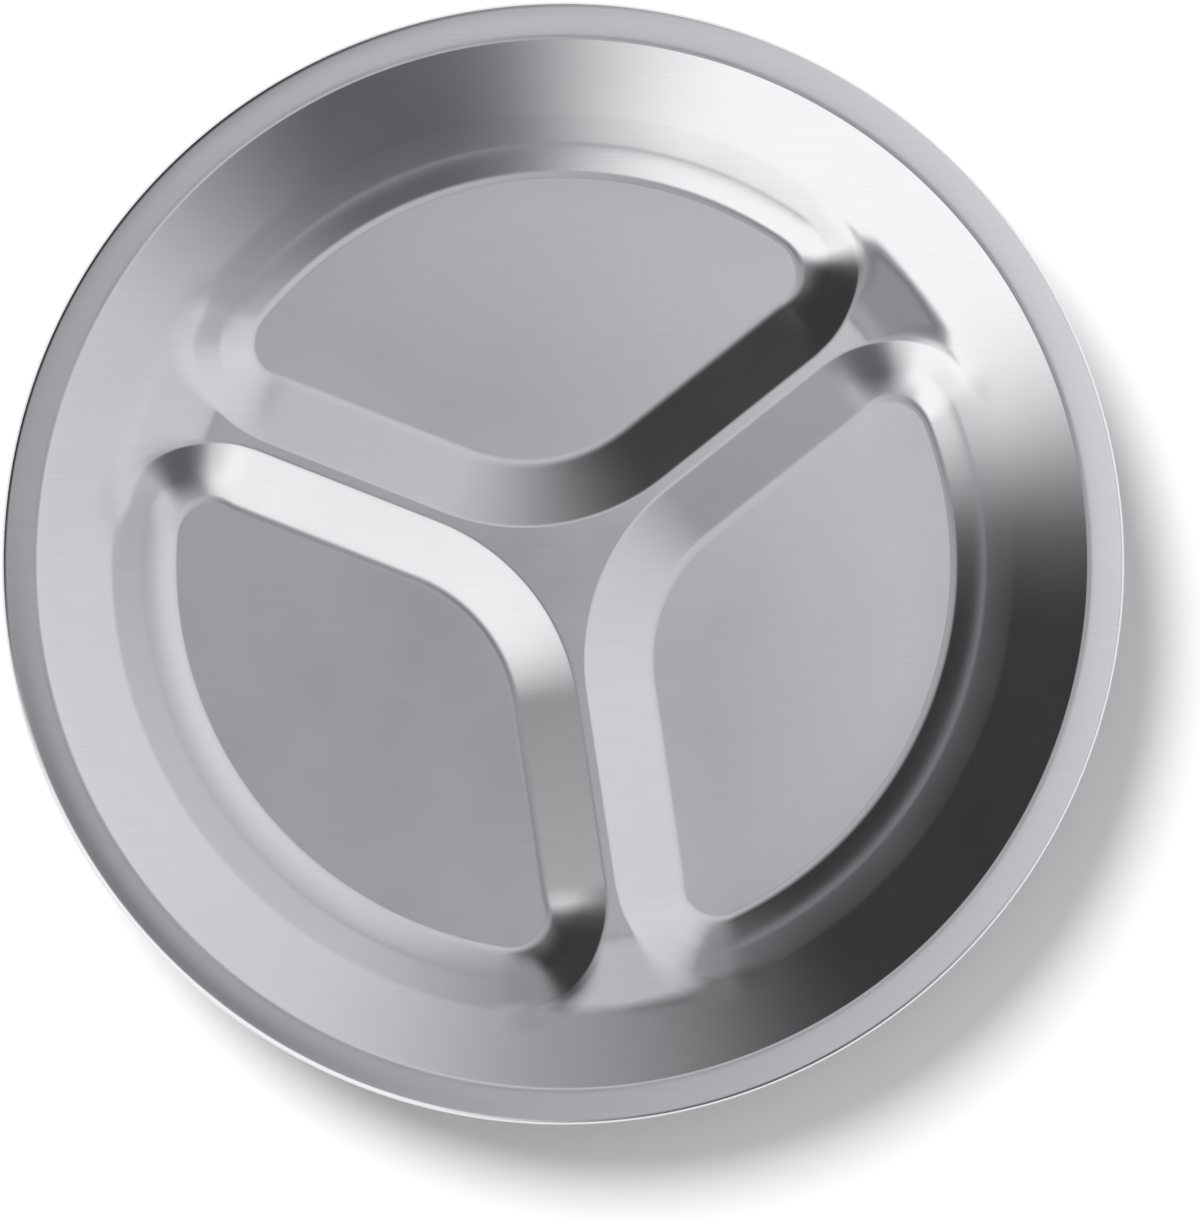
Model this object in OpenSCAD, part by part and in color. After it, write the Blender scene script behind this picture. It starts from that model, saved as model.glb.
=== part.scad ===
// Divided compartment plate, pressed from one sheet of stainless steel.
// Seen from above it is a round bowl with a flat rim and a rolled edge. Three
// compartments are pressed into its base, and the narrow flat tops of the
// dividers between them meet in the middle.
// The plate stands on the underside of the compartment floors, at z = 0.

/* [Plate] */
// Diameter over the rolled edge
plate_d = 240; // [210:1:300]
// Height from the face it stands on to the top of the rim
plate_h = 23.5; // [20:0.5:32]
// Thickness of the sheet
sheet_t = 0.6; // [0.4:0.1:1]

/* [Rim] */
// Width of the rim, from the top of the bowl's wall to the outside
rim_w = 8; // [7:0.5:14]
// Outer radius of the bend between the bowl's wall and the rim
rim_bend_r = 1.6; // [1.2:0.1:2.5]
// Diameter of the rolled edge
roll_d = 3.6; // [2.6:0.1:5]
// How far round the edge is rolled, in degrees
roll_turn = 300; // [200:10:310]

/* [Bowl] */
// Slope of the bowl's wall, in degrees
bowl_slope = 39; // [36:0.5:40]
// Width of the ramp that a divider's top rises on before it meets the wall
ramp_w = 13.2; // [10:0.1:16]
// Slope of the ramp, in degrees
ramp_slope = 13; // [10:0.5:15]
// Radius of the curve from the divider tops into the ramp
ramp_curve_r = 26; // [15:0.5:30]
// Radius of the curve from the ramp into the bowl's wall
foot_curve_r = 2; // [1.2:0.1:3]

/* [Compartments] */
// Height of the dividers above the compartment floors
divider_h = 7.6; // [7:0.1:9]
// Width of the flat top of a divider
divider_top_w = 2.4; // [1.6:0.1:4]
// Width of a divider's sloping side, seen from above
divider_side_w = 13.65; // [11:0.05:16]
// Direction of the first divider, in degrees from the x axis
divider_turn = 38.5; // [0:0.5:119]
// Width of the lower part of the outer wall, seen from above
lower_wall_w = 6.9; // [6:0.1:8]
// Slope of the lower part of the outer wall, in degrees
lower_wall_slope = 39.5; // [38:0.5:41]
// Width of the steeper upper part of the outer wall, seen from above
upper_wall_w = 5.85; // [4.5:0.05:6.5]
// Distance from the curve at the foot of the bowl's wall to the outer wall
foot_margin = 0.1; // [0.1:0.1:1]
// Radius of the floor's corner at the middle of the plate
inner_corner_r = 34.5; // [26:0.1:40]
// Radius of the floor's two corners near the bowl's wall
outer_corner_r = 8.2; // [5:0.1:12]

/* [Hidden] */
$fn = 96;
divider_count = 3;
half_turn = 180 / divider_count;
// Straight parts that a pressed curve and the rolled edge are drawn with
curve_steps = 4;
roll_steps = 20;
// How far a cutting shape passes the surface that it cuts
pass = 1;
// How far a round corner passes the sides that it joins, so that they cross
corner_pass = 0.1;

floor_z = sheet_t;
ridge_z = floor_z + divider_h;
roll_r = roll_d / 2;
wall_top_r = plate_d / 2 - rim_w;

// The bowl: its wall stands on the ramp, which starts at the edge of the flat
foot_z = ridge_z + ramp_w * tan(ramp_slope);
foot_r = wall_top_r - (plate_h - foot_z) / tan(bowl_slope);
flat_r = foot_r - ramp_w;
foot_turn = (bowl_slope - ramp_slope) / 2;

// The compartments: their outer wall meets the bowl's wall at outline_r
outline_r = foot_r + foot_curve_r * tan(foot_turn) + foot_margin;
outline_z = plate_h - (wall_top_r - outline_r) * tan(bowl_slope);
crease_r = outline_r - upper_wall_w;
floor_r = crease_r - lower_wall_w;
crease_z = floor_z + lower_wall_w * tan(lower_wall_slope);
upper_wall_slope = atan((outline_z - crease_z) / upper_wall_w);
side_slope = atan(divider_h / divider_side_w);
compartment_top_z = outline_z + pass;

// A floor's straight edges lie this far from the middle line of a divider
floor_edge = divider_top_w / 2 + divider_side_w;
inner_centre = (floor_edge + inner_corner_r) / sin(half_turn);
outer_centre = floor_r - outer_corner_r;
outer_centre_turn = asin((floor_edge + outer_corner_r) / outer_centre);
side_start = inner_centre * cos(half_turn);
side_end = outer_centre * cos(outer_centre_turn);

// Points of an arc round [x, z]
function arc(x, z, r, from, to, steps = curve_steps) =
    [for (i = [0 : steps])
        let (a = from + (to - from) * i / steps)
        [x + r * cos(a), z + r * sin(a)]];

// How far a divider's side stands out from the floor's edge at height z,
// on a surface that lies skin below the plate's upper face
function side_out(z, skin) = (z - floor_z) / tan(side_slope) + skin / sin(side_slope);

// The bowl's upper face, or the face that lies skin below it, from the middle
// of the plate to the rim
function bowl_line(skin) = concat(
    [[0, ridge_z - skin]],
    arc(flat_r - ramp_curve_r * tan(ramp_slope / 2), ridge_z + ramp_curve_r,
        ramp_curve_r + skin, -90, -90 + ramp_slope),
    arc(foot_r - foot_curve_r * (tan(foot_turn) * cos(ramp_slope) + sin(ramp_slope)),
        foot_z + foot_curve_r * (cos(ramp_slope) - tan(foot_turn) * sin(ramp_slope)),
        foot_curve_r + skin, -90 + ramp_slope, -90 + bowl_slope),
    arc(wall_top_r + rim_bend_r * tan(bowl_slope / 2), plate_h - rim_bend_r,
        rim_bend_r - skin, 90 + bowl_slope, 90));

// The rolled edge, from the rim's upper face round to its end
function roll_line(r, from, to) =
    arc(plate_d / 2 - roll_r, plate_h - roll_r, r, from, to, roll_steps);

// Everything from the sheet's lower face up to the height of the rim
module bowl_body() {
    rotate_extrude()
        polygon(concat(
            bowl_line(sheet_t),
            roll_line(roll_r - sheet_t, 90, 90 - roll_turn),
            roll_line(roll_r, 90 - roll_turn, 90),
            [[0, plate_h]]));
}

// The open space of the bowl, above the sheet's upper face
module bowl_space() {
    rotate_extrude()
        polygon(concat(
            bowl_line(0),
            [[wall_top_r + rim_bend_r * tan(bowl_slope / 2), plate_h + pass],
             [0, plate_h + pass]]));
}

// The outer limit of the compartments: the two parts of the outer wall
module outer_limit(skin) {
    floor_shift = skin * tan(lower_wall_slope / 2);
    crease_turn = (upper_wall_slope - lower_wall_slope) / 2;
    crease_skin = skin / cos(crease_turn);
    crease_tilt = lower_wall_slope + crease_turn;
    top_x = outline_r + skin * sin(upper_wall_slope);
    top_z = outline_z - skin * cos(upper_wall_slope);
    rotate_extrude()
        polygon([
            [0, floor_z - skin],
            [floor_r + floor_shift, floor_z - skin],
            [crease_r + crease_skin * sin(crease_tilt), crease_z - crease_skin * cos(crease_tilt)],
            [top_x + (compartment_top_z - top_z) / tan(upper_wall_slope), compartment_top_z],
            [0, compartment_top_z]]);
}

// A round corner of a compartment, widening upwards
module corner(r, skin) {
    translate([0, 0, floor_z - skin])
        cylinder(
            h = compartment_top_z - floor_z + skin,
            r1 = r + side_out(floor_z - skin, skin),
            r2 = r + side_out(compartment_top_z, skin));
}

// The straight side along one divider, for a divider that lies along x, with
// the compartment below it
module straight_side(skin) {
    translate([side_start, 0, 0])
        rotate([90, 0, 90])
            linear_extrude(height = side_end - side_start)
                polygon([
                    [-floor_edge - outer_corner_r, floor_z - skin],
                    [-floor_edge + side_out(floor_z - skin, skin), floor_z - skin],
                    [-floor_edge + side_out(ridge_z + pass, skin), ridge_z + pass],
                    [-floor_edge - outer_corner_r, ridge_z + pass]]);
}

// The middle of a compartment, between its corners
module compartment_core(skin) {
    turn = half_turn - outer_centre_turn;
    far = plate_d;
    near = inner_corner_r - outer_corner_r / 2;
    near_x = inner_centre - near * sin(half_turn);
    near_y = near * cos(half_turn);
    translate([0, 0, floor_z - skin])
        linear_extrude(height = compartment_top_z - floor_z + skin)
            polygon([
                [near_x, near_y],
                [outer_centre * cos(turn), outer_centre * sin(turn)],
                [far * cos(turn), far * sin(turn)],
                [far * cos(turn), -far * sin(turn)],
                [outer_centre * cos(turn), -outer_centre * sin(turn)],
                [near_x, -near_y]]);
}

// One compartment, lying along x
module compartment(skin) {
    turn = half_turn - outer_centre_turn;
    intersection() {
        outer_limit(skin);
        union() {
            compartment_core(skin);
            translate([inner_centre, 0, 0])
                corner(inner_corner_r + corner_pass, skin);
            for (side = [0, 1])
                mirror([0, side, 0]) {
                    rotate([0, 0, turn])
                        translate([outer_centre, 0, 0])
                            corner(outer_corner_r + corner_pass, skin);
                    rotate([0, 0, half_turn])
                        straight_side(skin);
                }
        }
    }
}

module compartments(skin) {
    for (i = [0 : divider_count - 1])
        rotate([0, 0, divider_turn + half_turn + i * 2 * half_turn])
            compartment(skin);
}

module pressed_plate() {
    color("#c4c3c7")
        difference() {
            union() {
                bowl_body();
                compartments(sheet_t);
            }
            bowl_space();
            compartments(0);
        }
}

pressed_plate();
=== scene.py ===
import bpy
import bmesh
import numpy as np
from math import radians, degrees, sin, cos, tan, asin, atan2, sqrt, pi, hypot
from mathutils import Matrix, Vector


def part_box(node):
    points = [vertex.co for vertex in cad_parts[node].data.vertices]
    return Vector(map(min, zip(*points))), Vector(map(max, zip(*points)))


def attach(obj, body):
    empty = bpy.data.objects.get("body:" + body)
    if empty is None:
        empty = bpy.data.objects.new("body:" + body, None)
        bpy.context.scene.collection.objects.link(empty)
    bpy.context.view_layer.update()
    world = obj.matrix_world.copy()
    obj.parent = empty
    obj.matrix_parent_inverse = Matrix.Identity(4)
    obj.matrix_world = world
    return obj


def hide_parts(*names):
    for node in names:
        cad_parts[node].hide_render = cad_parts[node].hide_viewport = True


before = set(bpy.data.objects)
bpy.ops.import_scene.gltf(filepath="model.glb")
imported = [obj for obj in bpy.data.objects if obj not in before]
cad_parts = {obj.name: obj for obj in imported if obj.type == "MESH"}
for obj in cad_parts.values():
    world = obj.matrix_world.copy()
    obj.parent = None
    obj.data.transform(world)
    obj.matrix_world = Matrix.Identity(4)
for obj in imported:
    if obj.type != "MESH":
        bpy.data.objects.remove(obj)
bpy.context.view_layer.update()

plateLow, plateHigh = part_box("pressed_plate")
mm = 0.001
mixShare, mixFirst, mixSecond = 0, 6, 7  # the sockets for colours of a Mix node
print("frame loaded, box in mm", [round((plateHigh[i] - plateLow[i]) / mm, 2) for i in range(3)])


def hexToLinear(code):
    code = code.lstrip("#")
    parts = [int(code[i:i + 2], 16) / 255 for i in (0, 2, 4)]
    return tuple(p / 12.92 if p <= 0.04045 else ((p + 0.055) / 1.055) ** 2.4 for p in parts) + (1.0,)


def addNode(tree, kind, settings=None, inputs=None):
    node = tree.nodes.new(kind)
    for name, value in (settings or {}).items():
        setattr(node, name, value)
    for name, value in (inputs or {}).items():
        socket = node.inputs[name]
        if isinstance(value, bpy.types.NodeSocket):
            tree.links.new(value, socket)
        else:
            socket.default_value = value
    return node


# The plate, in mm and degrees. Sizes seen from above are the photo's, as in the solid
plateLook = {
    "sheet": 0.6,
    "rimWidth": 8.0,
    # the rim dishes a little inwards at the bend and crowns down to the roll: radius and slope
    "rimSlopes": [(112.2, 4.5), (113.35, 0.0), (113.7, -1.0), (118.635, -14.0)],
    "roll": 3.6,
    "rollTurn": 300,
    "bowlSlope": 39.0,
    "rampWidth": 13.2,
    "rampSlope": 13.0,
    "rampCurve": 26.0,
    "footCurve": 2.0,
    "dividerHeight": 7.6,
    "dividerTop": 2.4,
    "dividerSide": 13.65,
    "dividerTurn": 38.5,
    "innerCorner": 34.5,
    "outerCorner": 8.2,
    "footMargin": 0.1,
    # the outer wall, in two parts with a crease between them
    "lowerWall": 6.9,
    "upperWall": 5.85,
    "floorGrow": 0.7,        # how far the floor runs out under it, past its edge in the solid
    "lowerHollow": 5.2,      # how far the lower part's slope turns, to each side
    "upperHollow": 0.2,
    "creaseHeight": 5.45,    # above the floor
    "creaseFadeIn": 2.5,     # the crease starts this far before the corner of the floor
    "creaseFade": 7.5,       # and is full after this much of the floor's edge
    "creaseDrop": 0.12,      # how far it drops round a corner, as a share of the wall's height
    "dropStart": 2.0,        # where that starts, along the edge from the start of the corner
    "dropRun": 8.0,
    "dropRise": 4.0,         # the drop is full where the wall is lower by this much
    # the tilted band outside a compartment's two outer corners
    "bandWidth": 3.6,
    "bandLeast": 0.01,
    "bandTilt": 0.36,        # its rise over its run
    "bandLevel": 0.6,        # the share of the band that keeps the full tilt
    "bandStart": 1.5,        # along the edge from the start of the corner
    "bandFadeIn": 7.5,
    "bandFadeOut": 6.0,
    # the horn, where the corner runs into the bowl's wall
    "hornWidth": 4.5,
    "hornStart": 4.0,        # before the foot of the bowl's wall
    "hornRun": 4.2,
    "hornBlend": 1.5,        # height over which the two walls run together there
    "blendLeast": 0.02,
    "blendStart": 9.0,       # along the edge from the start of the corner
    "blendFadeIn": 4.0,
    "blendEnd": 0.5,         # past the end of the corner
    "blendFadeOut": 3.5,
    "blendReach": 5.0,       # outside the wall
    "blendWidth": 3.0,
    # half widths of the rounds on the edges, and how they pass into each other
    "floorRound": 1.2,
    "floorRoundReach": 1.5,  # in floor rounds, from the edge of the floor
    "creaseRound": 0.55,
    "topRound": 0.45,
    "topRoundEnd": 1.5,      # it is full this far before the wall's upper edge
    "rampRound": 2.4,        # of the ramp's foot between two corners
    "rampRoundGrow": 0.9,    # how fast it grows outside the wall
    "hornRound": 1.6,
    "hornRoundRun": 3.0,
    "hornRoundReach": 2.5,
    "ringFade": 2.0,         # the rounds end over this much inside the rim's first ring
    "discPoints": 90,        # pairs of points in the disc that the rounds are averaged over
    # how the mesh is laid out: rows side by side along the edge of the floor, each running
    # outwards, and then the rings of the rim
    "arcFrom": 0.8,          # share of the floor's radius outside which its edge is the arc
    "edgeRun": 6.0,          # from the compartments' outline out to the rim's first ring
    "innerSteps": 18,
    "sideSteps": 26,
    "cornerSteps": 60,
    "cornerFoot": (20, 28),  # the rows on the two sides of the curve at the bowl's foot
    "cornerSplit": 32,       # up to this row they end on the divider's middle line
    "arcSteps": 40,
    "outerSteps": (5, 7, 3),  # of a row before, across and after the curve at the bowl's foot
    "footSpan": 1.6,         # half width of the steps across it
    "footMiss": 1.5,         # a row that ends further than this inside it has even steps
    "leastRun": 0.5,         # and so has one that has less than this to go
    "beyondWall": 0.6,       # how far the fine rows go on outside the wall
    "beyondCorner": 3.8,     # and how much further round a corner
    "beyondShare": 0.7,      # at most this share of the way to the divider's middle line
    "beyondLeast": 0.5,
    "beyondPower": 1.3,
    "floorRings": (0.7, 0.35),
    "middleShift": 6,        # of the floor's middle, outwards
    "wallSteps": 5,
    "bendSteps": 8,
    "rimSamples": 60,
    "rimFine": 18,           # the first of them, of which every second one is drawn
    "rollSteps": 40,
    "mergeMm": 0.003,
}
compartments = 3
halfTurn = 180 // compartments  # from a divider to the middle line of a compartment beside it
sideTurn = 90 + halfTurn        # the way that a straight side rises, from that middle line
leastLean = 0.05                # keeps the way to a divider's middle line from growing too long
tiny = 1e-6                     # keeps a division from being by nothing


def heading(angle):
    return np.array([cos(angle), sin(angle)])


def platePlan(look):
    # the same working out as in the solid's source, with the size and height from its box
    p = dict(look)
    p["radius"] = (plateHigh[0] - plateLow[0]) / 2 / mm
    p["height"] = plateHigh[2] / mm
    p["floorZ"] = p["sheet"]
    p["ridgeZ"] = p["floorZ"] + p["dividerHeight"]
    slope, ramp = radians(p["bowlSlope"]), radians(p["rampSlope"])
    p["wallTopR"] = p["radius"] - p["rimWidth"]
    p["footZ"] = p["ridgeZ"] + p["rampWidth"] * tan(ramp)
    p["footR"] = p["wallTopR"] - (p["height"] - p["footZ"]) / tan(slope)
    p["flatR"] = p["footR"] - p["rampWidth"]
    p["footRun"] = p["footCurve"] * tan((slope - ramp) / 2)
    p["outlineR"] = p["footR"] + p["footRun"] + p["footMargin"]
    p["creaseR"] = p["outlineR"] - p["upperWall"]
    p["floorR"] = p["creaseR"] - p["lowerWall"]
    p["ringR"] = p["outlineR"] + p["edgeRun"]
    half = radians(halfTurn)
    p["floorEdge"] = p["dividerTop"] / 2 + p["dividerSide"]
    p["innerCentre"] = (p["floorEdge"] + p["innerCorner"]) / sin(half)
    p["outerCentre"] = p["floorR"] - p["outerCorner"]
    p["cornerTurn"] = half - asin((p["floorEdge"] + p["outerCorner"]) / p["outerCentre"])
    p["cornerX"] = p["outerCentre"] * cos(p["cornerTurn"])
    p["cornerY"] = p["outerCentre"] * sin(p["cornerTurn"])
    p["cornerLength"] = p["outerCorner"] * (radians(sideTurn) - p["cornerTurn"])
    p["sideStart"] = p["innerCentre"] * cos(half)
    p["sideEnd"] = p["outerCentre"] * cos(half - p["cornerTurn"])
    p["wallRise"] = float(bowlHeight(p, p["outlineR"])) - p["floorZ"]
    return p


def bowlHeight(p, r):
    # flat, curve, ramp, curve, straight wall
    r = np.asarray(r, dtype=float)
    ramp, slope = radians(p["rampSlope"]), radians(p["bowlSlope"])
    rc, rf = p["rampCurve"], p["footCurve"]
    c1 = p["flatR"] - rc * tan(ramp / 2)
    c2 = p["footR"] - p["footRun"] * cos(ramp) - rf * sin(ramp)
    z2 = p["footZ"] - p["footRun"] * sin(ramp) + rf * cos(ramp)
    curve = p["ridgeZ"] + rc - np.sqrt(np.maximum(rc * rc - (r - c1) ** 2, 0))
    foot = z2 - np.sqrt(np.maximum(rf * rf - (r - c2) ** 2, 0))
    return np.select(
        [r <= c1, r <= c1 + rc * sin(ramp), r <= c2 + rf * sin(ramp), r <= c2 + rf * sin(slope)],
        [p["ridgeZ"] + 0 * r, curve, p["footZ"] - (p["footR"] - r) * tan(ramp), foot],
        p["height"] - (p["wallTopR"] - r) * tan(slope))


def smooth(t):
    t = np.clip(t, 0.0, 1.0)
    return t * t * (3 - 2 * t)


def bent(u, rise, width, turn):
    # height share at width share u of a wall whose slope turns evenly by so many degrees each way
    leastTurn = 0.05
    mean = np.arctan2(rise, width)
    turn = np.where(np.abs(turn) < leastTurn, leastTurn, turn)
    low, high = mean - np.radians(turn), mean + np.radians(turn)
    r = 1 / (np.sin(high) - np.sin(low))

    def at(v):
        under = np.maximum(r * r - (v + r * np.sin(low)) ** 2, 0)
        return r * np.cos(low) - np.sign(r) * np.sqrt(under)

    return at(u) / at(1.0)


def fromFloor(p, x, y):
    # the place folded into one half of a compartment that lies along x, its radius, its
    # distance from the edge of the floor and the direction of that, and how far along the
    # edge it is from the start of the outer corner
    r = np.hypot(x, y)
    turn = np.abs((np.degrees(np.arctan2(y, x)) + halfTurn) % (2 * halfTurn) - halfTurn)
    x, y = r * np.cos(np.radians(turn)), r * np.sin(np.radians(turn))
    half, side, cornerEnd = radians(halfTurn), radians(sideTurn), degrees(p["cornerTurn"])
    vx, vy = x - p["innerCentre"], y
    wx, wy = x - p["cornerX"], y - p["cornerY"]
    innerAt = np.degrees(np.arctan2(vy, vx))
    cornerAt = np.degrees(np.arctan2(wy, wx))
    inInner = innerAt >= sideTurn
    # the corner overlaps the arc by a degree, so that no point falls between them
    inArc = (turn <= cornerEnd) & (r > p["arcFrom"] * p["floorR"])
    inCorner = ~inArc & ~inInner & (cornerAt < sideTurn) & (cornerAt > cornerEnd - 1)
    lv, lw = np.maximum(np.hypot(vx, vy), tiny), np.maximum(np.hypot(wx, wy), tiny)
    edge = p["innerCentre"] * cos(side) + p["innerCorner"]
    parts = [inInner, inArc, inCorner]
    d = np.select(
        parts, [lv - p["innerCorner"], r - p["floorR"], lw - p["outerCorner"]],
        x * cos(side) + y * sin(side) - edge)
    ux = np.select(parts, [vx / lv, x / np.maximum(r, tiny), wx / lw], cos(side))
    uy = np.select(parts, [vy / lv, y / np.maximum(r, tiny), wy / lw], sin(side))
    along = x * cos(half) + y * sin(half) - p["sideEnd"]
    past = p["cornerLength"] + p["floorR"] * (p["cornerTurn"] - np.radians(turn))
    farBefore = -60 + 0 * r
    s = np.select(parts, [farBefore, past, np.radians(sideTurn - cornerAt) * p["outerCorner"]], along)
    return x, y, r, d, ux, uy, s


def wallWidths(p, s):
    # of the whole wall and of its part below the crease, how far it has its crease, and how
    # far this is a corner, at this distance along the edge of the floor
    share = smooth((s + p["creaseFadeIn"]) / p["creaseFade"])
    corner = smooth((s - p["bandStart"]) / p["bandFadeIn"]) * smooth(
        (p["cornerLength"] + p["bandFadeOut"] - s) / p["bandFadeOut"])
    width = p["dividerSide"] + (p["lowerWall"] + p["upperWall"] - p["dividerSide"]) * share
    return width, width - p["upperWall"], share, corner


def plainHeight(p, x, y):
    # height of the upper face with all its edges sharp
    x, y, r, d, ux, uy, s = fromFloor(p, x, y)
    width, crease, share, corner = wallWidths(p, s)
    half, side = radians(halfTurn), radians(sideTurn)
    # round a corner the face outside the edge tilts down towards it, over a narrow band
    across = x * sin(half) - y * cos(half)
    toAxis = d - width + across / np.maximum(ux * cos(side) + uy * sin(side), leastLean)
    edgeR = np.hypot(x + (width - d) * ux, y + (width - d) * uy)
    horn = smooth((edgeR - p["footR"] + p["hornStart"]) / p["hornRun"])
    band = (p["bandWidth"] + (p["hornWidth"] - p["bandWidth"]) * horn) * corner
    band = np.maximum(np.minimum(band, toAxis), p["bandLeast"])
    tilt = p["bandTilt"] * (1 - horn) * corner
    level = p["bandLevel"]
    top = bowlHeight(p, edgeR) - tilt * band * (1 + level) / 2
    # the wall, below and above its crease
    rise = top - p["floorZ"]
    straight = rise * crease / width
    drop = p["creaseDrop"] * smooth((s - p["dropStart"]) / p["dropRun"])
    drop = drop * np.clip((p["wallRise"] - rise) / p["dropRise"], 0, 1)
    creaseShare = p["creaseHeight"] / p["wallRise"] - drop
    creaseRise = straight + share * (creaseShare * rise - straight)
    start = p["floorGrow"] * share
    lowerWidth, upperRise = crease - start, rise - creaseRise
    lowerAt = np.clip((d - start) / lowerWidth, 0, 1)
    lower = creaseRise * bent(lowerAt, creaseRise, lowerWidth, share * p["lowerHollow"])
    upperAt = np.clip((d - crease) / p["upperWall"], 0, 1)
    upper = creaseRise + upperRise * bent(
        upperAt, upperRise, p["upperWall"], -share * p["upperHollow"])
    wall = p["floorZ"] + np.where(d <= crease, lower, upper)
    t = np.clip((d - width) / band, 0, 1)
    fall = np.where(t < level, (1 + level) / 2 - t, (1 - t) ** 2 / (2 * (1 - level)))
    outside = bowlHeight(p, r) - tilt * band * fall
    # the wall runs softly into the bowl's wall at the end of the corner
    wall = np.where(d > width, top + (d - width) * upperRise / p["upperWall"], wall)
    blend = p["hornBlend"] * smooth((s - p["blendStart"]) / p["blendFadeIn"])
    blend = blend * smooth((p["cornerLength"] + p["blendEnd"] - s) / p["blendFadeOut"])
    blend = p["blendLeast"] + blend * smooth((width + p["blendReach"] - d) / p["blendWidth"])
    near = np.clip(1 - np.abs(outside - wall) / blend, 0, 1)
    return np.where(d <= start, p["floorZ"], np.minimum(wall, outside) - near * near * blend / 4)


def roundedHeight(p, x, y):
    # the same face with its edges rounded: the mean height over a small disc, whose radius
    # is the round of the nearest edge
    fx, fy, r, d, ux, uy, s = fromFloor(p, x, y)
    width, crease, _, corner = wallWidths(p, s)
    floorRound = p["floorRound"]
    reach = p["floorRoundReach"] * floorRound
    body = floorRound + (p["creaseRound"] - floorRound) * smooth((d - reach) / (crease - reach))
    body = body + (p["topRound"] - body) * smooth(
        (d - crease) / (p["upperWall"] - p["topRoundEnd"]))
    # outside the walls the ramp's foot is rounded, and at its two ends the wall's edge with it
    edgeR = np.hypot(fx + (width - d) * ux, fy + (width - d) * uy)
    horn = smooth((edgeR - p["footR"] + p["hornRoundRun"]) / p["hornRoundRun"])
    horn = horn * smooth((d - width + p["hornRoundReach"]) / p["hornRoundReach"])
    foot = p["rampRoundGrow"] * np.maximum(d - width, 0) + p["hornRound"] * horn
    foot = np.minimum(p["rampRound"], foot) * corner
    radius = np.maximum(body, foot) * smooth((p["ringR"] - r) / p["ringFade"])
    goldenAngle = 2.399963  # spreads the points evenly over the disc
    i = np.arange(p["discPoints"])
    kr = np.sqrt((i + 0.5) / p["discPoints"])
    ka = i * goldenAngle
    kx = np.concatenate([kr * np.cos(ka), -kr * np.cos(ka)])
    ky = np.concatenate([kr * np.sin(ka), -kr * np.sin(ka)])
    gx = x[:, None] + radius[:, None] * kx[None, :]
    gy = y[:, None] + radius[:, None] * ky[None, :]
    return plainHeight(p, gx, gy).mean(axis=1)


def halfStations(p):
    # places along one half of a compartment's floor edge: the point, the direction away from
    # the floor, and the point on the edge of the third of the plate that lies behind it
    out = []
    half, side = radians(halfTurn), radians(sideTurn)
    divider = heading(half)
    centre = np.array([p["innerCentre"], 0.0])
    corner = np.array([p["cornerX"], p["cornerY"]])
    steps = p["innerSteps"]
    for i in range(steps):
        n = heading(radians(180 - (180 - sideTurn) * i / steps))
        out.append((centre + p["innerCorner"] * n, n, divider * p["sideStart"] * i / steps))
    steps = p["sideSteps"]
    n = heading(side)
    start, end = centre + p["innerCorner"] * n, corner + p["outerCorner"] * n
    for i in range(steps):
        t = i / steps
        along = p["sideStart"] + (p["sideEnd"] - p["sideStart"]) * t
        out.append((start + (end - start) * t, n, divider * along))
    steps, split = p["cornerSteps"], p["cornerSplit"]
    stops = [0, *p["cornerFoot"], split]
    reaches = [p["sideEnd"], p["footR"] - p["footSpan"], p["footR"] + p["footSpan"], p["ringR"]]
    for i in range(steps):
        n = heading(side + (p["cornerTurn"] - side) * i / steps)
        if i <= split:
            behind = divider * np.interp(i, stops, reaches)
        else:
            behind = p["ringR"] * heading(
                half + (p["cornerTurn"] - half) * (i - split) / (steps - split))
        out.append((corner + p["outerCorner"] * n, n, behind))
    steps = p["arcSteps"]
    for i in range(steps + 1):
        n = heading(p["cornerTurn"] * (1 - i / steps))
        out.append((p["floorR"] * n, n, p["ringR"] * n))
    return out


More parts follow.
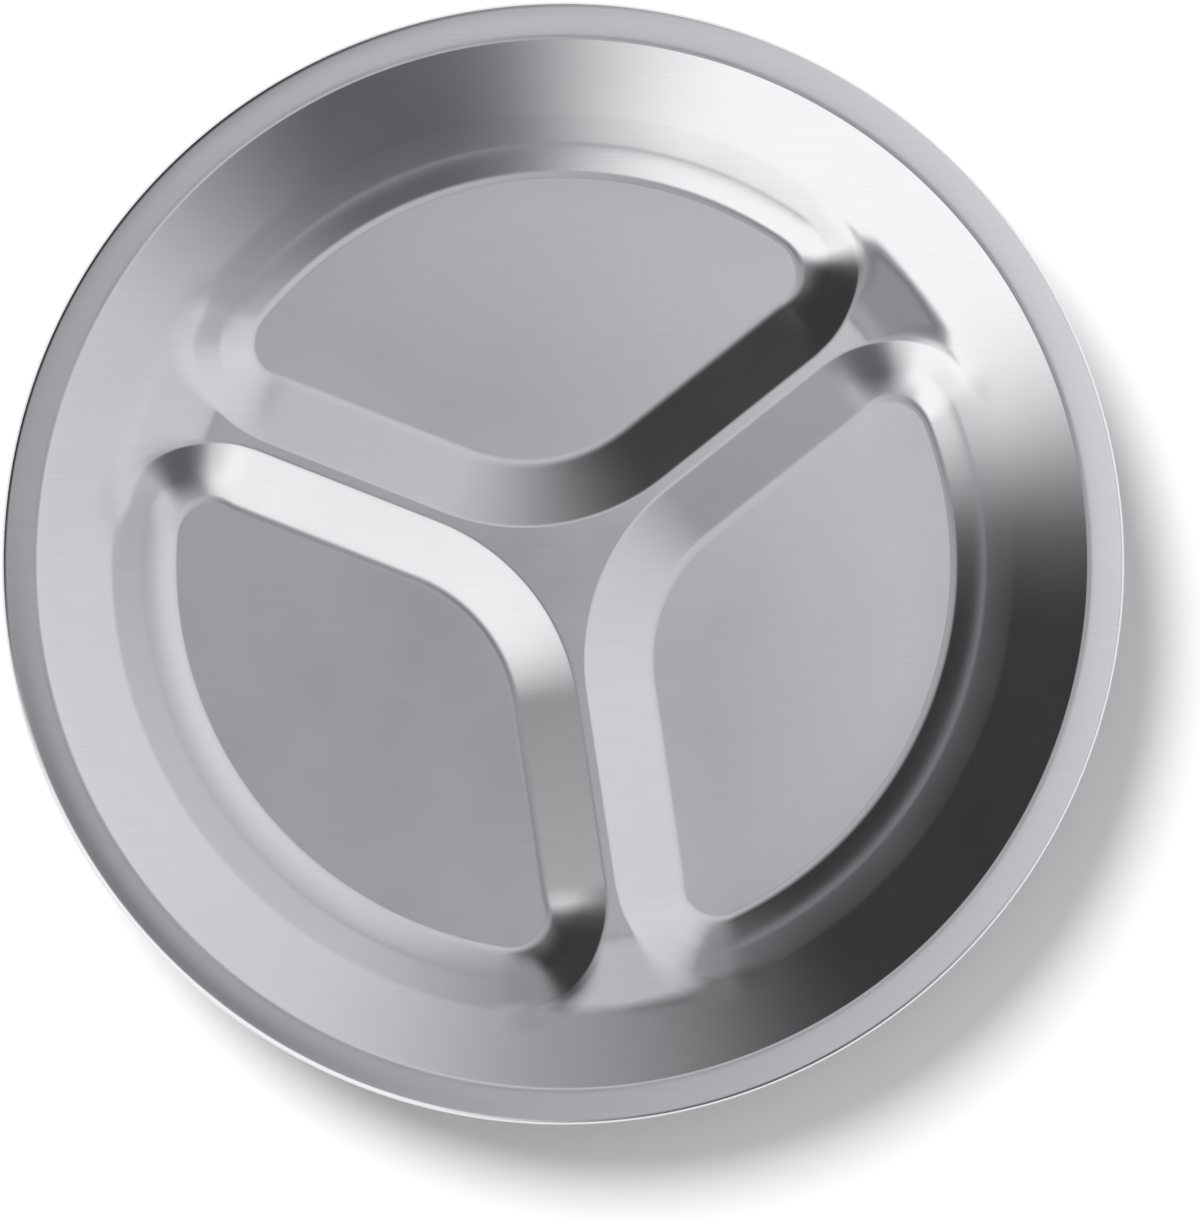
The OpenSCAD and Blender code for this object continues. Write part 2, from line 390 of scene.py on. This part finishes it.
def wallPoints(p, station):
    # points seen from above, from the floor up one wall and on to the edge of the third
    justOutside = 0.01
    place, n, behind = station
    s = fromFloor(p, place[0] + justOutside * n[0], place[1] + justOutside * n[1])[-1]
    width, crease, share, corner = (float(v) for v in wallWidths(p, s))
    floorRound, creaseRound, topRound = p["floorRound"], p["creaseRound"], p["topRound"]
    side = heading(radians(sideTurn))
    toAxis = -float((place + n * width) @ side) / max(float(n @ side), leastLean)
    beyond = p["beyondWall"] + p["beyondCorner"] * corner
    if toAxis > 0:
        beyond = min(beyond, max(p["beyondShare"] * toAxis, p["beyondLeast"]))
    start = p["floorGrow"] * share
    # the rows lie closer together on the rounds than between them
    ds = list(np.linspace(start - floorRound, start + floorRound, 9))
    ds += list(np.linspace(start + floorRound, crease - creaseRound, 6)[1:-1])
    ds += list(np.linspace(crease - creaseRound, crease + creaseRound, 7))
    ds += list(np.linspace(crease + creaseRound, width - topRound, 7)[1:-1])
    ds += list(np.linspace(width - topRound, width, 4)[:-1])
    ds += list(width + beyond * np.linspace(0, 1, 9) ** p["beyondPower"])
    points = [place + n * v for v in ds]
    q = points[-1]
    rq, rb = hypot(*q), hypot(*behind)
    before, across, after = p["outerSteps"]
    steps = before + across + after
    if rb < p["footR"] - p["footMiss"] or rb - rq < p["leastRun"]:
        points += [q + (behind - q) * i / steps for i in range(1, steps + 1)]
        return points
    gap = 0.02 * (rb - rq)  # the least step, as a share of the whole run
    low = min(max(p["footR"] - p["footSpan"], rq + before * gap), rb - (across + after) * gap)
    high = min(max(p["footR"] + p["footSpan"], low + across * gap), rb - after * gap)
    radii = list(np.linspace(rq, low, before + 1)[1:])
    radii += list(np.linspace(low, high, across + 1)[1:])
    radii += list(np.linspace(high, rb, after + 1)[1:])
    # where the straight line from q to the point behind reaches each radius
    step = behind - q
    a, b = float(step @ step), float(q @ step)
    for radius in radii[:-1]:
        t = (-b + sqrt(max(b * b - a * (rq * rq - radius * radius), 0))) / a
        points.append(q + step * t)
    points.append(behind)
    return points


def rimRings(p):
    # radius and height from the ring outside the compartments to the curl's end
    slope = radians(p["bowlSlope"])
    knots, samples = p["rimSlopes"], p["rimSamples"]
    radii = np.linspace(knots[0][0], knots[-1][0], samples)
    slopes = np.tan(np.radians(np.interp(radii, [k[0] for k in knots], [k[1] for k in knots])))
    rises = np.concatenate([[0], np.cumsum((slopes[1:] + slopes[:-1]) / 2 * np.diff(radii))])
    heights = p["height"] + rises - rises.max()
    # the bend is the arc that touches the bowl's wall and the start of the rim
    first = radians(knots[0][1])
    corner = (heights[0] - radii[0] * tan(first) - p["height"] + p["wallTopR"] * tan(slope)) / (
        tan(slope) - tan(first))
    bend = (radii[0] - corner) / cos(first) / tan((slope - first) / 2)
    bendX, bendZ = radii[0] + bend * sin(first), heights[0] - bend * cos(first)
    out = []
    steps = p["wallSteps"]
    for i in range(1, steps + 1):
        r = p["ringR"] + (bendX - bend * sin(slope) - p["ringR"]) * i / steps
        out.append((r, float(bowlHeight(p, r))))
    steps = p["bendSteps"]
    for i in range(1, steps):
        a = slope + (first - slope) * i / steps
        out.append((bendX - bend * sin(a), bendZ + bend * cos(a)))
    drawn = [*range(0, p["rimFine"], 2), *range(p["rimFine"], samples, 4), samples - 1]
    out += [(radii[i], heights[i]) for i in drawn]
    # the curl starts with the rim's last slope
    rollR = p["roll"] / 2
    last = radians(-knots[-1][1])
    rollX, rollZ = radii[-1] - rollR * sin(last), heights[-1] - rollR * cos(last)
    steps = p["rollSteps"]
    for i in range(1, steps + 1):
        a = radians(90) - last - (radians(p["rollTurn"]) - last) * i / steps
        out.append((rollX + rollR * cos(a), rollZ + rollR * sin(a)))
    return out


def addThirds(bm, p):
    # the upper face of the compartments, with the bowl just round them
    half = [np.array(wallPoints(p, station)) for station in halfStations(p)]
    flat = np.concatenate(half)
    heights = roundedHeight(p, flat[:, 0], flat[:, 1]).reshape(len(half), -1)
    rows = [[(q[0], q[1], z) for q, z in zip(points, zs)] for points, zs in zip(half, heights)]
    # the other half, mirrored
    rows += [[(x, -y, z) for x, y, z in row] for row in reversed(rows[1:-1])]
    cx = (p["innerCentre"] - p["innerCorner"] + p["floorR"]) / 2 + p["middleShift"]
    for k in range(compartments):
        turn = radians(p["dividerTurn"] + halfTurn + 2 * halfTurn * k)
        ct, st = cos(turn), sin(turn)

        def put(x, y, z):
            return bm.verts.new(((x * ct - y * st) * mm, (x * st + y * ct) * mm, z * mm))

        grid = [[put(*q) for q in row] for row in rows]
        # the floor, drawn in towards its middle
        inner = []
        for share in p["floorRings"]:
            inner.append([
                put(cx + (row[0][0] - cx) * share, row[0][1] * share, p["floorZ"]) for row in rows])
        middle = put(cx, 0, p["floorZ"])
        for i in range(len(grid)):
            j = (i + 1) % len(grid)
            bm.faces.new((inner[1][j], inner[1][i], middle))
            bm.faces.new((inner[0][j], inner[0][i], inner[1][i], inner[1][j]))
            bm.faces.new((grid[j][0], grid[i][0], inner[0][i], inner[0][j]))
            for a in range(len(grid[i]) - 1):
                bm.faces.new((grid[i][a], grid[j][a], grid[j][a + 1], grid[i][a + 1]))


def addRim(bm, p):
    # turned about the middle, from the ring that the thirds end on to the end of the curl
    ringTolerance = 1e-7
    ringR = p["ringR"] * mm
    ring = [v for v in bm.verts if abs(hypot(v.co.x, v.co.y) - ringR) < ringTolerance]
    ring.sort(key=lambda v: atan2(v.co.y, v.co.x))
    angles = [atan2(v.co.y, v.co.x) for v in ring]
    for r, z in rimRings(p):
        outer = [bm.verts.new((r * mm * cos(a), r * mm * sin(a), z * mm)) for a in angles]
        for i in range(len(ring)):
            j = (i + 1) % len(ring)
            bm.faces.new((ring[i], ring[j], outer[j], outer[i]))
        ring = outer
    return ring


def addLowerSide(bm, p, curlEnd):
    # the sheet's other side, and the narrow band that joins the two at the end of the curl
    upper, faces = list(bm.verts), list(bm.faces)
    bm.verts.index_update()
    lower = [bm.verts.new(v.co - v.normal * p["sheet"] * mm) for v in upper]
    for f in faces:
        bm.faces.new([lower[v.index] for v in reversed(f.verts)])
    curlEnd = set(curlEnd)
    endEdges = [e for e in bm.edges if e.is_boundary and set(e.verts) <= curlEnd]
    for e in endEdges:
        a, b = e.verts
        order = list(e.link_faces[0].verts)
        if order[(order.index(a) + 1) % len(order)] == b:
            a, b = b, a
        bm.faces.new((a, b, lower[b.index], lower[a.index]))


def buildPlate(look):
    p = platePlan(look)
    bm = bmesh.new()
    addThirds(bm, p)
    bmesh.ops.remove_doubles(bm, verts=bm.verts[:], dist=p["mergeMm"] * mm)
    curlEnd = addRim(bm, p)
    bm.normal_update()
    bmesh.ops.recalc_face_normals(bm, faces=bm.faces[:])
    bm.normal_update()
    if sum(f.normal.z * f.calc_area() for f in bm.faces) < 0:
        bmesh.ops.reverse_faces(bm, faces=bm.faces[:])
        bm.normal_update()
    addLowerSide(bm, p, curlEnd)
    mesh = bpy.data.meshes.new("pressedPlateSheet")
    bm.normal_update()
    bm.to_mesh(mesh)
    openEdges = sum(1 for e in bm.edges if len(e.link_faces) != 2)
    bm.free()
    for poly in mesh.polygons:
        poly.use_smooth = True
    plate = bpy.data.objects.new("pressedPlateSheet", mesh)
    bpy.context.scene.collection.objects.link(plate)
    print("plate mesh", len(mesh.vertices), "points, open edges", openEdges)
    return plate


# Satin stainless steel, 0.6 mm sheet with a cold rolled finish, deep drawn in a press.
# The eye sees a soft mirror: clear bands on the curves, with fine rolling lines across them
steelLook = {
    "colour": "#dad9dc",
    "toneLow": 0.978,        # what the rolling lines multiply the colour by
    "toneHigh": 1.015,
    "roughness": 0.17,
    "roughnessSpread": 0.02,
    "cloudMm": 22,           # size of the rougher and smoother patches
    # spacing of the rolling lines, drawn coarser than the real 0.05 mm so that they show
    "grainMm": 0.28,
    "grainLengthMm": 14.0,
    "grainDepthMm": 0.0003,
    "noiseLow": 0.3,         # most of a noise's values lie between these two
    "noiseHigh": 0.7,
}


def satinStainless(look):
    material = bpy.data.materials.new("satinStainless")
    material.use_nodes = True
    tree = material.node_tree
    tree.nodes.clear()

    def spread(noise, low, high):
        return addNode(tree, "ShaderNodeMapRange", inputs={
            "Value": noise.outputs["Fac"],
            "From Min": look["noiseLow"], "From Max": look["noiseHigh"],
            "To Min": low, "To Max": high}).outputs["Result"]

    place = addNode(tree, "ShaderNodeTexCoord").outputs["Object"]
    along, across = 1 / (look["grainLengthMm"] * mm), 1 / (look["grainMm"] * mm)
    stretched = addNode(tree, "ShaderNodeMapping", inputs={
        "Vector": place, "Scale": (along, across, along)})
    grain = addNode(tree, "ShaderNodeTexNoise", inputs={
        "Vector": stretched.outputs["Vector"], "Scale": 1.0, "Detail": 3.0, "Roughness": 0.6})
    cloud = addNode(tree, "ShaderNodeTexNoise", inputs={
        "Vector": place, "Scale": 1 / (look["cloudMm"] * mm), "Detail": 2.0, "Roughness": 0.5})
    base = addNode(tree, "ShaderNodeMix", {"data_type": "RGBA", "blend_type": "MULTIPLY"}, {
        mixShare: 1.0, mixFirst: hexToLinear(look["colour"]),
        mixSecond: spread(grain, look["toneLow"], look["toneHigh"])})
    middle, either = look["roughness"], look["roughnessSpread"]
    bump = addNode(tree, "ShaderNodeBump", inputs={
        "Height": grain.outputs["Fac"], "Distance": look["grainDepthMm"] * mm, "Strength": 1.0})
    steel = addNode(tree, "ShaderNodeBsdfPrincipled", inputs={
        "Base Color": base.outputs[2], "Metallic": 1.0,
        "Roughness": spread(cloud, middle - either, middle + either),
        "Normal": bump.outputs["Normal"]})
    addNode(tree, "ShaderNodeOutputMaterial", inputs={"Surface": steel.outputs["BSDF"]})
    return material


plate = buildPlate(plateLook)
plate.data.materials.append(satinStainless(steelLook))
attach(plate, "root")
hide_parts("pressed_plate")
print("plate finished")


# Studio floor under the plate, in matte paint: a plain pale ground that takes the soft shadow
floorLook = {
    "sizeM": 4.0,
    "dropMm": 0.05,
    "colour": "#e7e7e7",
}


def buildFloor(look):
    bm = bmesh.new()
    h, z = look["sizeM"] / 2, -look["dropMm"] * mm
    bm.faces.new([bm.verts.new((x, y, z)) for x, y in ((-h, -h), (h, -h), (h, h), (-h, h))])
    mesh = bpy.data.meshes.new("studioFloor")
    bm.to_mesh(mesh)
    bm.free()
    floor = bpy.data.objects.new("studioFloor", mesh)
    bpy.context.scene.collection.objects.link(floor)
    material = bpy.data.materials.new("matteFloorPaint")
    material.use_nodes = True
    tree = material.node_tree
    tree.nodes.clear()
    paint = addNode(tree, "ShaderNodeBsdfDiffuse", inputs={"Color": hexToLinear(look["colour"])})
    addNode(tree, "ShaderNodeOutputMaterial", inputs={"Surface": paint.outputs["BSDF"]})
    floor.data.materials.append(material)


buildFloor(floorLook)
print("floor laid")


# Studio light: one broad key lamp from the upper left, and a room that the steel mirrors. The
# room is an even grey with soft-edged panels laid over it in turn. Each panel has its azimuth,
# half width and the softness of its sides, its lowest and highest elevation and the softness
# of those edges, all in degrees, and the colour that the steel shows of it
lightLook = {
    "keyAzimuth": 128.8,
    "keyElevation": 41.0,
    "keyAngle": 32.0,
    "keyStrength": 4.2,
    "steelShare": 0.695,     # how much of the room's light the steel sends on
    "room": "#9c9c9e",
    "panels": [
        ("pale side wall", 25, 75, 170, -53, 113, 144, "#d1d1d3"),
        ("skirting", -8, 8, 290, -60, 12, 14, "#727174"),
        ("grey cloth", 87, 11, 34, -60, 9, 73, "#141418"),
        ("dark room", 149, 45, 47, -60, 40, 21, "#343333"),
        ("doorway", -68, 22, 37, -60, 37, 25, "#59585b"),
        ("window", -130, 33.5, 30, -60, 37, 18, "#f6f6f5"),
        ("curtain rail", -143, 26, 39, 50, 69, 23, "#727275"),
        ("dark cornice", 122, 11, 122, 20, 57, 26, "#333232"),
        ("ceiling above the camera", 183, 75, 70, 85.7, 100, 4, "#8c8b8f"),
        ("lens above the plate", 0, 200, 1, 88.5, 100, 1.2, "#1e1d20"),
    ],
}


def roomLight(code, look):
    return tuple(v / look["steelShare"] for v in hexToLinear(code)[:3]) + (1.0,)


def buildWorld(look):
    world = bpy.data.worlds.new("studioRoom")
    bpy.context.scene.world = world
    world.use_nodes = True
    tree = world.node_tree
    tree.nodes.clear()

    def maths(operation, *values):
        return addNode(
            tree, "ShaderNodeMath", {"operation": operation}, dict(enumerate(values))).outputs[0]

    def softStep(value, edge, soft, start, end):
        return addNode(tree, "ShaderNodeMapRange", {"interpolation_type": "SMOOTHSTEP"}, {
            "Value": value,
            "From Min": radians(edge - soft / 2), "From Max": radians(edge + soft / 2),
            "To Min": start, "To Max": end}).outputs["Result"]

    away = addNode(tree, "ShaderNodeTexCoord").outputs["Generated"]
    parts = addNode(tree, "ShaderNodeSeparateXYZ", inputs={"Vector": away})
    around = maths("ARCTAN2", parts.outputs["Y"], parts.outputs["X"])
    up = maths("ARCSINE", parts.outputs["Z"])
    room = roomLight(look["room"], look)
    for name, azimuth, halfWidth, sideSoft, low, high, edgeSoft, code in look["panels"]:
        turned = maths("WRAP", maths("SUBTRACT", around, radians(azimuth)), pi, -pi)
        sides = softStep(maths("ABSOLUTE", turned), halfWidth, sideSoft, 1.0, 0.0)
        lower = softStep(up, low, edgeSoft, 0.0, 1.0)
        upper = softStep(up, high, edgeSoft, 1.0, 0.0)
        share = maths("MULTIPLY", sides, maths("MULTIPLY", lower, upper))
        room = addNode(tree, "ShaderNodeMix", {"data_type": "RGBA", "label": name}, {
            mixShare: share, mixFirst: room, mixSecond: roomLight(code, look)}).outputs[2]
    back = addNode(tree, "ShaderNodeBackground", inputs={"Color": room, "Strength": 1.0})
    addNode(tree, "ShaderNodeOutputWorld", inputs={"Surface": back.outputs["Background"]})


def buildKey(look):
    data = bpy.data.lights.new("keyLamp", "SUN")
    data.energy = look["keyStrength"]
    data.angle = radians(look["keyAngle"])
    lamp = bpy.data.objects.new("keyLamp", data)
    bpy.context.scene.collection.objects.link(lamp)
    a, e = radians(look["keyAzimuth"]), radians(look["keyElevation"])
    towards = Vector((cos(e) * cos(a), cos(e) * sin(a), sin(e)))
    lamp.location = towards
    lamp.rotation_euler = towards.to_track_quat("Z", "Y").to_euler()
    lamp.visible_glossy = False  # the steel mirrors the room alone


buildWorld(lightLook)
buildKey(lightLook)
print("light set")


# The camera looks straight down from 1 m above the rim, as the photo does
cameraLook = {
    "heightMm": 1000.0,
    "frameMm": 260.15,       # height of the photo's frame at the rim
    "xMm": 7.93,
    "yMm": -9.96,
    "sensorMm": 36.0,
    "reachM": 20.0,
}


def buildCamera(look):
    data = bpy.data.cameras.new("photoCamera")
    data.sensor_fit = "VERTICAL"
    data.sensor_height = look["sensorMm"]
    data.lens = look["sensorMm"] * look["heightMm"] / look["frameMm"]
    data.clip_end = look["reachM"]
    camera = bpy.data.objects.new("photoCamera", data)
    bpy.context.scene.collection.objects.link(camera)
    camera.location = (look["xMm"] * mm, look["yMm"] * mm, plateHigh[2] + look["heightMm"] * mm)
    camera.rotation_euler = (0, 0, 0)
    bpy.context.scene.camera = camera


buildCamera(cameraLook)
bpy.context.scene.view_settings.view_transform = "Standard"
print("camera placed")
